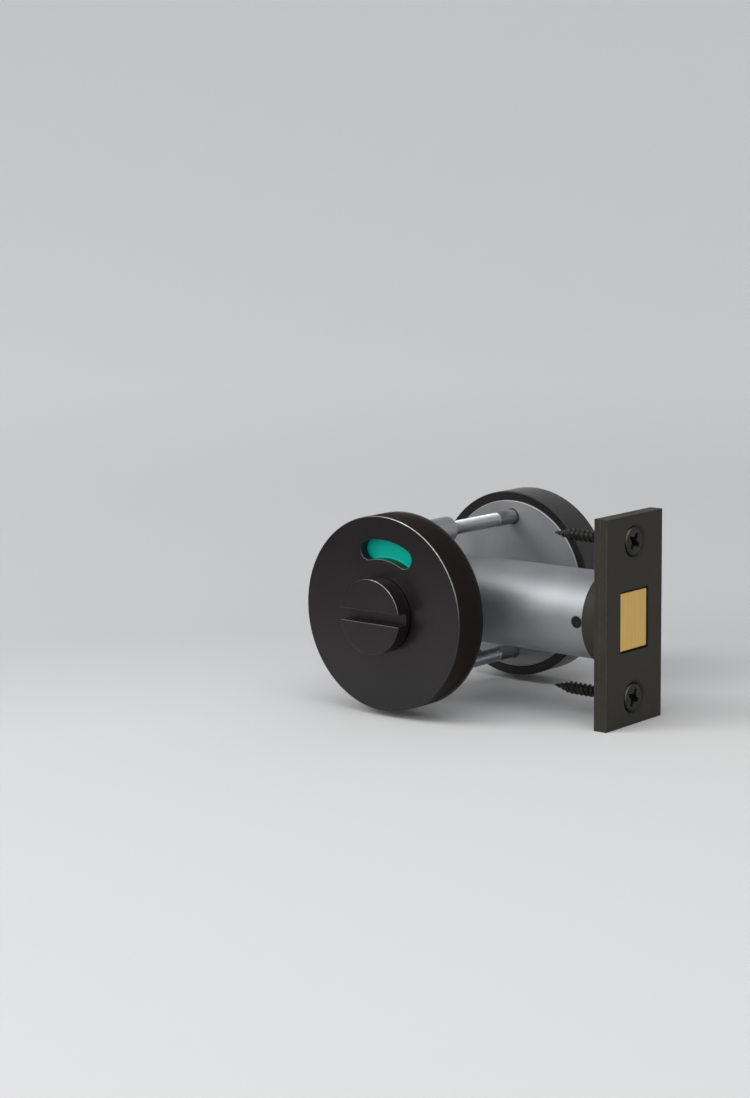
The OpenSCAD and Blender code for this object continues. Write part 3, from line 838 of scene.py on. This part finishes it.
class Finish:
    """A material whose textures are laid in the piece's own millimetres."""

    def __init__(self, name, **sockets):
        self.material = bpy.data.materials.new(name)
        self.material.use_nodes = True
        self.tree = self.material.node_tree
        self.shader = self.tree.nodes["Principled BSDF"]
        for key, value in sockets.items():
            self.shader.inputs[key.replace("_", " ")].default_value = value
        self.place = self.tree.nodes.new("ShaderNodeTexCoord").outputs["Object"]
        self.surface = None

    def node(self, kind, **settings):
        made = self.tree.nodes.new(kind)
        for key, value in settings.items():
            setattr(made, key, value)
        return made

    def join(self, source, socket):
        self.tree.links.new(source, socket)

    def noise(self, size, detail, stretch=(1, 1, 1), seed=0.0):
        """Noise whose features are about size millimetres across, drawn out along each axis by stretch."""
        mapping = self.node("ShaderNodeMapping")
        mapping.inputs["Scale"].default_value = [1 / (size * MM * s) for s in stretch]
        mapping.inputs["Location"].default_value = [seed * shift for shift in SEED_SHIFT]
        self.join(self.place, mapping.inputs["Vector"])
        made = self.node("ShaderNodeTexNoise")
        made.inputs["Scale"].default_value = 1.0
        made.inputs["Detail"].default_value = detail
        self.join(mapping.outputs["Vector"], made.inputs["Vector"])
        return made.outputs["Fac"]

    def distance(self, point):
        """Distance in metres from a point."""
        made = self.node("ShaderNodeVectorMath", operation="DISTANCE")
        made.inputs[1].default_value = point
        self.join(self.place, made.inputs[0])
        return made.outputs["Value"]

    def ramp(self, factor, *stops):
        """Colour ramp through (position, colour) stops."""
        made = self.node("ShaderNodeValToRGB")
        elements = made.color_ramp.elements
        while len(elements) < len(stops):
            elements.new(0.5)
        for element, (position, colour) in zip(elements, stops):
            element.position = position
            element.color = colour
        self.join(factor, made.inputs["Fac"])
        return made.outputs["Color"]

    def levels(self, factor, low, high, low_at=0.3, high_at=0.7):
        """Maps noise to a range of values."""
        made = self.node("ShaderNodeMapRange")
        for key, value in (("From Min", low_at), ("From Max", high_at), ("To Min", low), ("To Max", high)):
            made.inputs[key].default_value = value
        self.join(factor, made.inputs["Value"])
        return made.outputs["Result"]

    def blend(self, factor, first, second):
        """Mixes two colours."""
        made = self.node("ShaderNodeMix", data_type="RGBA")
        self.join(factor, made.inputs["Factor"])
        for source, socket in ((first, made.inputs[6]), (second, made.inputs[7])):
            if isinstance(source, tuple):
                socket.default_value = source
            else:
                self.join(source, socket)
        return made.outputs[2]

    def fade(self, factor, value, end):
        """Takes a value to a fixed one as a factor rises."""
        made = self.node("ShaderNodeMix", data_type="FLOAT")
        self.join(factor, made.inputs["Factor"])
        self.join(value, made.inputs[2])
        made.inputs[3].default_value = end
        return made.outputs[0]

    def times(self, first, second):
        made = self.node("ShaderNodeMath", operation="MULTIPLY")
        self.join(first, made.inputs[0])
        self.join(second, made.inputs[1])
        return made.outputs[0]

    def wear_and_highlight_mask(self, low, high):
        """Wear, with painted highlights, along the rounded edges, broken up by noise."""
        attribute = self.node("ShaderNodeAttribute", attribute_name="wear_and_highlight")
        return self.times(attribute.outputs["Fac"], self.levels(self.noise(1.2, 4.0, seed=3.0), low, high))

    def bump(self, height, strength, depth):
        """Adds relief of a depth in millimetres on top of any that is there."""
        made = self.node("ShaderNodeBump")
        made.inputs["Strength"].default_value = strength
        made.inputs["Distance"].default_value = depth * MM
        self.join(height, made.inputs["Height"])
        if self.surface:
            self.join(self.surface, made.inputs["Normal"])
        self.surface = made.outputs["Normal"]

    def done(self, colour, roughness):
        self.join(colour, self.shader.inputs["Base Color"])
        self.join(roughness, self.shader.inputs["Roughness"])
        if self.surface:
            self.join(self.surface, self.shader.inputs["Normal"])
        return self.material


def satin_black():
    """Black coating: a fine satin tooth, faint hand marks, and lighter metal on worn edges, with painted
    highlights on the rims' upper right.
    """
    finish = Finish("satin_black", IOR=1.5)
    clouds = finish.noise(14, 4.0)
    colour = finish.ramp(clouds, (0.3, (0.0054, 0.0041, 0.0044, 1)), (0.7, (0.0072, 0.0057, 0.0061, 1)))
    # Lighter, metallic edges: wear, and painted highlights on rims, lower lip and slot edge placed by
    # bearing
    wear_and_highlight_mask = finish.wear_and_highlight_mask(0.55, 1.0)
    colour = finish.blend(wear_and_highlight_mask, colour, (0.45, 0.44, 0.43, 1))
    finish.join(wear_and_highlight_mask, finish.shader.inputs["Metallic"])
    finish.bump(finish.noise(0.16, 2.0, seed=1.0), 0.2, 0.01)
    finish.bump(finish.noise(2.5, 2.0, seed=2.0), 0.1, 0.02)
    return finish.done(colour, finish.fade(wear_and_highlight_mask, finish.levels(clouds, 0.29, 0.36), 0.25))


def dark_bronze():
    """Matt dark bronze-grey plating with a fine vertical grain."""
    finish = Finish("dark_bronze", IOR=1.26)
    clouds = finish.noise(9, 5.0)
    colour = finish.ramp(clouds, (0.25, srgb(45, 43, 37)), (0.75, srgb(50, 48, 42)))
    colour = finish.blend(finish.wear_and_highlight_mask(0.1, 0.6), colour, srgb(84, 81, 72))
    finish.bump(finish.noise(0.3, 3.0, (1, 1, 12), 1.0), 0.15, 0.01)
    return finish.done(colour, finish.levels(clouds, 0.48, 0.58))


def black_steel():
    """Blackened steel with thin lighter wear on its edges, and a painted highlight on each cross head's
    upper left.
    """
    finish = Finish("black_steel", Metallic=0.5, IOR=1.4)
    clouds = finish.noise(1.6, 5.0)
    colour = finish.ramp(clouds, (0.3, srgb(33, 33, 30)), (0.7, srgb(43, 42, 39)))
    # Lighter edges: wear, and a painted highlight at the upper left of each cross head
    colour = finish.blend(finish.wear_and_highlight_mask(0.4, 1.0), colour, srgb(158, 154, 146))
    finish.bump(finish.noise(0.3, 2.0, seed=1.0), 0.15, 0.008)
    return finish.done(colour, finish.levels(clouds, 0.32, 0.46))


def brass():
    """Brass brushed up and down the bolt's end, and along its sides, with a painted brown reflection on its
    bevels.
    """
    finish = Finish("brass", Metallic=1.0)
    strokes = finish.noise(0.26, 4.0, (60, 1, 40), 1.0)
    broad = finish.noise(0.9, 3.0, (30, 1, 14), 2.0)
    colour = finish.ramp(strokes, (0.25, srgb(220, 181, 104)), (0.75, srgb(238, 203, 124)))
    colour = finish.blend(finish.levels(broad, 0.0, 0.4), colour, srgb(226, 185, 104))
    # Bevels painted brown: a painted reflection, carried by the wear mask
    colour = finish.blend(finish.wear_and_highlight_mask(0.3, 0.9), colour, srgb(158, 104, 48))
    finish.bump(strokes, 0.2, 0.012)
    return finish.done(colour, finish.levels(broad, 0.34, 0.44))


def bearing_bronze():
    """Sintered bronze, finely pitted."""
    finish = Finish("bearing_bronze", Metallic=1.0)
    pits = finish.noise(0.3, 4.0)
    colour = finish.ramp(pits, (0.3, srgb(120, 84, 48)), (0.6, srgb(184, 140, 88)))
    finish.bump(pits, 0.3, 0.02)
    return finish.done(colour, finish.levels(pits, 0.5, 0.34))


def zinc_plate():
    """Bright zinc plate with a cool cast, cloudy where it was passivated."""
    finish = Finish("zinc_plate", Metallic=1.0)
    clouds = finish.noise(11, 3.0)
    colour = finish.ramp(clouds, (0.3, srgb(155, 157, 161)), (0.55, srgb(164, 166, 168)),
                         (0.8, srgb(168, 167, 162)))
    colour = finish.blend(finish.wear_and_highlight_mask(0.1, 0.6), colour, srgb(196, 197, 198))
    finish.bump(finish.noise(0.6, 2.0, (10, 3, 3), 1.0), 0.1, 0.01)
    return finish.done(colour, finish.levels(clouds, 0.52, 0.55))


def bright_steel():
    """Plain drawn steel with lines along the door's thickness."""
    finish = Finish("bright_steel", Metallic=1.0)
    drawn = finish.noise(0.35, 3.0, (1, 40, 1))
    colour = finish.ramp(drawn, (0.25, srgb(146, 148, 152)), (0.75, srgb(182, 184, 186)))
    colour = finish.blend(finish.wear_and_highlight_mask(0.1, 0.7), colour, srgb(208, 208, 208))
    finish.bump(drawn, 0.12, 0.01)
    return finish.done(colour, finish.levels(finish.noise(5, 3.0, seed=2.0), 0.28, 0.4))


def plastic(name, dark, light, rough_low, rough_high):
    """Moulded or painted plastic with a fine grain."""
    finish = Finish(name, IOR=1.27, Specular_IOR_Level=0.25)
    clouds = finish.noise(6, 3.0)
    colour = finish.ramp(clouds, (0.3, dark), (0.7, light))
    finish.bump(finish.noise(0.4, 2.0, seed=1.0), 0.1, 0.012)
    return finish.done(colour, finish.levels(clouds, rough_low, rough_high))


FINISHES = {
    "satin_black": satin_black(),
    "dark_bronze": dark_bronze(),
    "black_steel": black_steel(),
    "brass": brass(),
    "bearing_bronze": bearing_bronze(),
    "zinc_plate": zinc_plate(),
    "bright_steel": bright_steel(),
    "vacant_green": plastic("vacant_green", srgb(0, 160, 142), srgb(0, 168, 150), 0.36, 0.44),
    "occupied_red": plastic("occupied_red", srgb(182, 24, 26), srgb(194, 30, 30), 0.42, 0.5),
    "black_nylon": plastic("black_nylon", srgb(26, 26, 27), srgb(34, 34, 35), 0.45, 0.55),
}
slot_of = {row["node"]: row["material_slot"] for row in frame["record"]["subparts"]}
body_of = {node: body for body, nodes in frame["record"]["behaviour"]["bodies"].items() for node in nodes}


def show(node, mesh):
    """Puts a mesh in the place of a CAD node, with that node's body and finish."""
    piece = bpy.data.objects.new("dressed_" + node, mesh)
    bpy.context.scene.collection.objects.link(piece)
    mesh.materials.clear()
    mesh.materials.append(FINISHES[slot_of[node]])
    mesh.shade_smooth()
    mesh.set_sharp_from_angle(angle=SMOOTH_ANGLE)
    normals = piece.modifiers.new("flat_faces", "WEIGHTED_NORMAL")
    normals.keep_sharp = True
    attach(piece, body_of[node])
    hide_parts(node)


def place_of(vert):
    """Place of a point to the nearest micrometre, by which it is known again after a cut."""
    return tuple(round(c, 6) for c in vert.co)


def wear_and_highlight_by_place(mesh):
    """Wear and painted highlights of each point of a mesh, by its place."""
    return {place_of(vert): item.value for vert, item in zip(mesh.vertices, mesh.attributes["wear_and_highlight"].data)}


def combine(mesh, other, operation):
    """Joins another mesh to a mesh, or cuts it away, and keeps the wear and painted highlights of the
    points that stay.
    """
    wear_and_highlight = wear_and_highlight_by_place(other) | wear_and_highlight_by_place(mesh)
    pieces = [bpy.data.objects.new("blank", mesh), bpy.data.objects.new("tool", other)]
    for piece in pieces:
        bpy.context.scene.collection.objects.link(piece)
    step = pieces[0].modifiers.new("combine", "BOOLEAN")
    step.operation = operation
    step.solver = "EXACT"
    step.object = pieces[1]
    graph = bpy.context.evaluated_depsgraph_get()
    made = bpy.data.meshes.new_from_object(pieces[0].evaluated_get(graph))
    for piece in pieces:
        bpy.data.objects.remove(piece)
    bm = bmesh.new()
    bm.from_mesh(made)
    bmesh.ops.remove_doubles(bm, verts=bm.verts, dist=SAME_POINT * MM)
    bmesh.ops.dissolve_degenerate(bm, edges=bm.edges, dist=SAME_POINT * MM)
    bm.to_mesh(made)
    bm.free()
    for vert, item in zip(made.vertices, made.attributes["wear_and_highlight"].data):
        item.value = wear_and_highlight.get(place_of(vert), 0.0)
    return made


def grub_drill(turn):
    """Drill for the grub screw's hole, through the bottom of a rose."""
    shell = Shell()
    start, end = ROSE_R - WALL_T - GRUB_OVERRUN, ROSE_R + GRUB_OVERRUN

    def section(depth):
        points = []
        for u, h in circle(SMALL_ROUND)(GRUB_R):
            flat = Matrix.Rotation(-turn, 2) @ Vector((u, -depth))
            points.append((flat.x, flat.y, GRUB_H + h))
        return shell.ring(points)

    first, last = shell.chain([section(start), section(end)])
    shell.fill(first)
    shell.fill(last)
    return shell


def drilled_rose(with_window, matrix, turn):
    blank = rose(with_window).mesh("rose", matrix)
    return combine(blank, grub_drill(turn).mesh("drill", matrix), "DIFFERENCE")


show("indicator_rose", drilled_rose(True, OUTSIDE, ROSE_TURN))
show("inside_rose", drilled_rose(False, INSIDE, 0))
show("coin_release", coin_release().mesh("coin_release", OUTSIDE))
show("turn_snib", combine(snib_boss().mesh("boss", INSIDE), snib_blade().mesh("blade", INSIDE), "UNION"))
show("vacant_segment", segment(0).mesh("segment", OUTSIDE))
show("occupied_segment", segment(-pi / 2).mesh("segment", OUTSIDE))
show("outer_base_plate", base_plate(POST_R + POST_GAP, 0).mesh("base_plate", OUTSIDE))
show("inner_base_plate", base_plate(THROUGH_HOLE, THROUGH_SINK).mesh("base_plate", INSIDE))
show("clamp_posts", clamp_posts().mesh("posts", OUTSIDE))
show("through_bolts", through_bolts().mesh("through_bolts", INSIDE))
show("faceplate", faceplate().mesh("faceplate", edge_frame(plate_high.x)))
show("forend", forend().mesh("forend", edge_frame(forend_high.x)))
show("faceplate_screws", faceplate_screws().mesh("screws", edge_frame(screw_high.x)))

# Pieces whose CAD shape is right, with their edges rounded by a width in millimetres
EDGE_WIDTHS = {
    "case_half_outer": 0.12, "case_half_inner": 0.12, "case_end_plug": 0.2,
    "case_rivet": 0.3, "bolt_guide": 0.12, "bolt_tail": 0.15, "tail_rivets": 0.05, "follower": 0.2,
    "spindle_pin": 0.1, "indicator_disc": 0.1, "outer_clip": 0.08, "inner_clip": 0.08,
    "outer_bush": 0.06, "inner_bush": 0.06, "rose_grub_screws": 0.12,
    "outer_spring_washer": 0.05, "inner_spring_washer": 0.05,
}
for node, width in EDGE_WIDTHS.items():
    show(node, dressed(node, width, EDGE_LEAST))
show("deadbolt", dressed("deadbolt", BOLT_EDGE, LONG_EDGE))
show("spindle", dressed("spindle", SPINDLE_EDGE, LONG_EDGE))

# The detent spring is squeezed as it works, so its CAD mesh stays and takes only its finish
spring = frame["nodes"]["detent_spring"]
spring.data.materials.clear()
spring.data.materials.append(FINISHES[slot_of["detent_spring"]])

# Studio, in metres: a floor that sweeps up into a wall all round, with a painted pool of light before the
# set
FLOOR_H = cad_box[0].z
STUDIO_IN = 0.02
STUDIO_R = 2.4
STUDIO_SWEEP = 1.9
STUDIO_H = 2.4
STUDIO_ROUND = 96
STUDIO_STEPS = 24
PAINTED_POOL_CENTRE = (0.16, -0.19)
# Shares of light that the paint gives back, by distance from the centre of the painted pool of light
STUDIO_PAINT = ((0.24, 0.66), (0.36, 0.575), (0.64, 0.645), (1.0, 0.77), (2.4, 0.905))

# Sheet over the floor, seen only in reflections, that makes the rose's face darker at its top
SHEET_BEARING = radians(40.5)
SHEET_HALF = radians(50)
SHEET_STEPS = 24
SHEET_LIFT = 0.0005
SHEET_PROFILE = ((0.06, 0), (0.12, 0), (0.18, 0), (0.26, 0), (0.36, 0),
                 (0.48, 0.02), (0.56, 0.08), (0.6, 0.2))
SHEET_PAINT = ((0.07, 0.76), (0.14, 0.58), (0.22, 0.31), (0.34, 0.1), (0.6, 0.03))
SHEET_TINT = (1, 0.92, 0.94)

# Ring behind the rose, seen only in reflections, that shades its side
RING_IN = 0.0265
RING_OUT = 0.06
RING_PAINT = ((RING_IN, 0.13), (RING_OUT, 0.1))
RING_TINT = (1, 0.78, 0.68)


def studio():
    shell = Shell()
    sweep = rounded([(STUDIO_IN, FLOOR_H, 0), (STUDIO_R, FLOOR_H, STUDIO_SWEEP),
                     (STUDIO_R, FLOOR_H + STUDIO_H, 0)], STUDIO_STEPS)
    middle = shell.loft(circle(STUDIO_ROUND), sweep)[0]
    shell.fill(middle)
    mesh = shell.mesh("studio")
    mesh.shade_smooth()
    finish = Finish("studio_paint", Specular_IOR_Level=0.0)
    reach = finish.levels(finish.distance((*PAINTED_POOL_CENTRE, FLOOR_H)), 0, 1, 0, STUDIO_R)
    # Painted pool of light: paint lighter just before the set, darker round it, and lighter again up the
    # wall
    stops = [(distance / STUDIO_R, (share, share, share, 1)) for distance, share in STUDIO_PAINT]
    paint = finish.ramp(reach, *stops)
    mesh.materials.append(finish.done(paint, finish.levels(finish.noise(300, 2.0), 0.75, 0.85)))
    made = bpy.data.objects.new("studio", mesh)
    bpy.context.scene.collection.objects.link(made)


def card(name, rings, paint, tint, closed):
    """Card through rings of points, painted by distance from the origin; the camera doesn't see it."""
    count = len(rings[0])
    faces = []
    for row in range(len(rings) - 1):
        for i in range(count if closed else count - 1):
            j = (i + 1) % count
            faces.append((row * count + i, row * count + j, (row + 1) * count + j, (row + 1) * count + i))
    mesh = bpy.data.meshes.new(name)
    mesh.from_pydata([point for ring in rings for point in ring], [], faces)
    finish = Finish(name, Specular_IOR_Level=0.0)
    extent = paint[-1][0]
    reach = finish.levels(finish.distance((0, 0, 0)), 0, 1, 0, extent)
    stops = [(distance / extent, (*[share * part for part in tint], 1)) for distance, share in paint]
    colour = finish.ramp(reach, *stops)
    finish.join(colour, finish.shader.inputs["Base Color"])
    clear_back = finish.node("ShaderNodeMixShader")
    finish.join(finish.node("ShaderNodeNewGeometry").outputs["Backfacing"], clear_back.inputs["Fac"])
    finish.join(finish.shader.outputs["BSDF"], clear_back.inputs[1])
    finish.join(finish.node("ShaderNodeBsdfTransparent").outputs["BSDF"], clear_back.inputs[2])
    finish.join(clear_back.outputs["Shader"], finish.tree.nodes["Material Output"].inputs["Surface"])
    mesh.materials.append(finish.material)
    made = bpy.data.objects.new(name, mesh)
    made.visible_camera = False
    made.visible_diffuse = False
    made.visible_shadow = False
    bpy.context.scene.collection.objects.link(made)


def cards():
    level = FLOOR_H + SHEET_LIFT
    bearings = [SHEET_BEARING + SHEET_HALF * (2 * i / SHEET_STEPS - 1) for i in range(SHEET_STEPS + 1)]
    sheet = []
    for reach, rise in SHEET_PROFILE:
        sheet.append([(-reach * sin(bearing), -reach * cos(bearing), level + rise) for bearing in bearings])
    card("sheet_card", sheet, SHEET_PAINT, SHEET_TINT, False)
    ring = []
    for radius in (RING_OUT, RING_IN):
        ring.append([(u * MM, 0, max(FLOOR_H, v * MM)) for u, v in circle()(radius / MM)])
    card("ring_card", ring, RING_PAINT, RING_TINT, True)


# Lamps, in metres and watts: name, place, width and height, and power
LAMPS = (
    ("key", (-0.75, -0.95, 0.95), (0.7, 0.7), 8.0),
    ("front", (-0.05, -1.0, 0.3), (0.6, 0.6), 3.2),
    ("top", (0.2, -0.35, 1.0), (1.4, 0.7), 4.8),
    ("fill", (1.2, -0.6, 0.5), (0.9, 0.9), 2.4),
)
SKY_COLOUR = (0.95, 0.97, 1.0, 1)
SKY_STRENGTH = 0.45


def lamp(name, place, aim, size, power):
    """Soft light of a width and a height, aimed at a point."""
    data = bpy.data.lights.new(name, "AREA")
    data.shape = "RECTANGLE"
    data.size, data.size_y = size
    data.energy = power
    made = bpy.data.objects.new(name, data)
    made.location = place
    made.rotation_euler = (Vector(aim) - Vector(place)).to_track_quat("-Z", "Y").to_euler()
    bpy.context.scene.collection.objects.link(made)


def light():
    centre = (cad_box[0] + cad_box[1]) / 2
    for name, place, size, power in LAMPS:
        lamp(name, place, centre, size, power)
    world = bpy.data.worlds.new("room")
    world.use_nodes = True
    sky = world.node_tree.nodes["Background"]
    sky.inputs["Color"].default_value = SKY_COLOUR
    sky.inputs["Strength"].default_value = SKY_STRENGTH
    bpy.context.scene.world = world


# Camera solved from the photo: its place in metres, which way it looks, and its lens in millimetres
CAMERA_PLACE = (0.3965, -0.47665, 0.1189)
CAMERA_HEADING = radians(40.506)
CAMERA_PITCH = radians(-9.4145)
CAMERA_ROLL = radians(-0.6924)
CAMERA_LENS = 77.98
CAMERA_SENSOR = 36


def camera():
    data = bpy.data.cameras.new("camera")
    data.lens = CAMERA_LENS
    data.sensor_width = CAMERA_SENSOR
    made = bpy.data.objects.new("camera", data)
    heading = Matrix.Rotation(CAMERA_HEADING, 4, "Z")
    pitch = Matrix.Rotation(pi / 2 + CAMERA_PITCH, 4, "X")
    roll = Matrix.Rotation(CAMERA_ROLL, 4, "Z")
    made.matrix_world = Matrix.Translation(CAMERA_PLACE) @ heading @ pitch @ roll
    bpy.context.scene.collection.objects.link(made)
    bpy.context.scene.camera = made


studio()
cards()
light()
camera()
bpy.context.scene.view_settings.view_transform = "Standard"
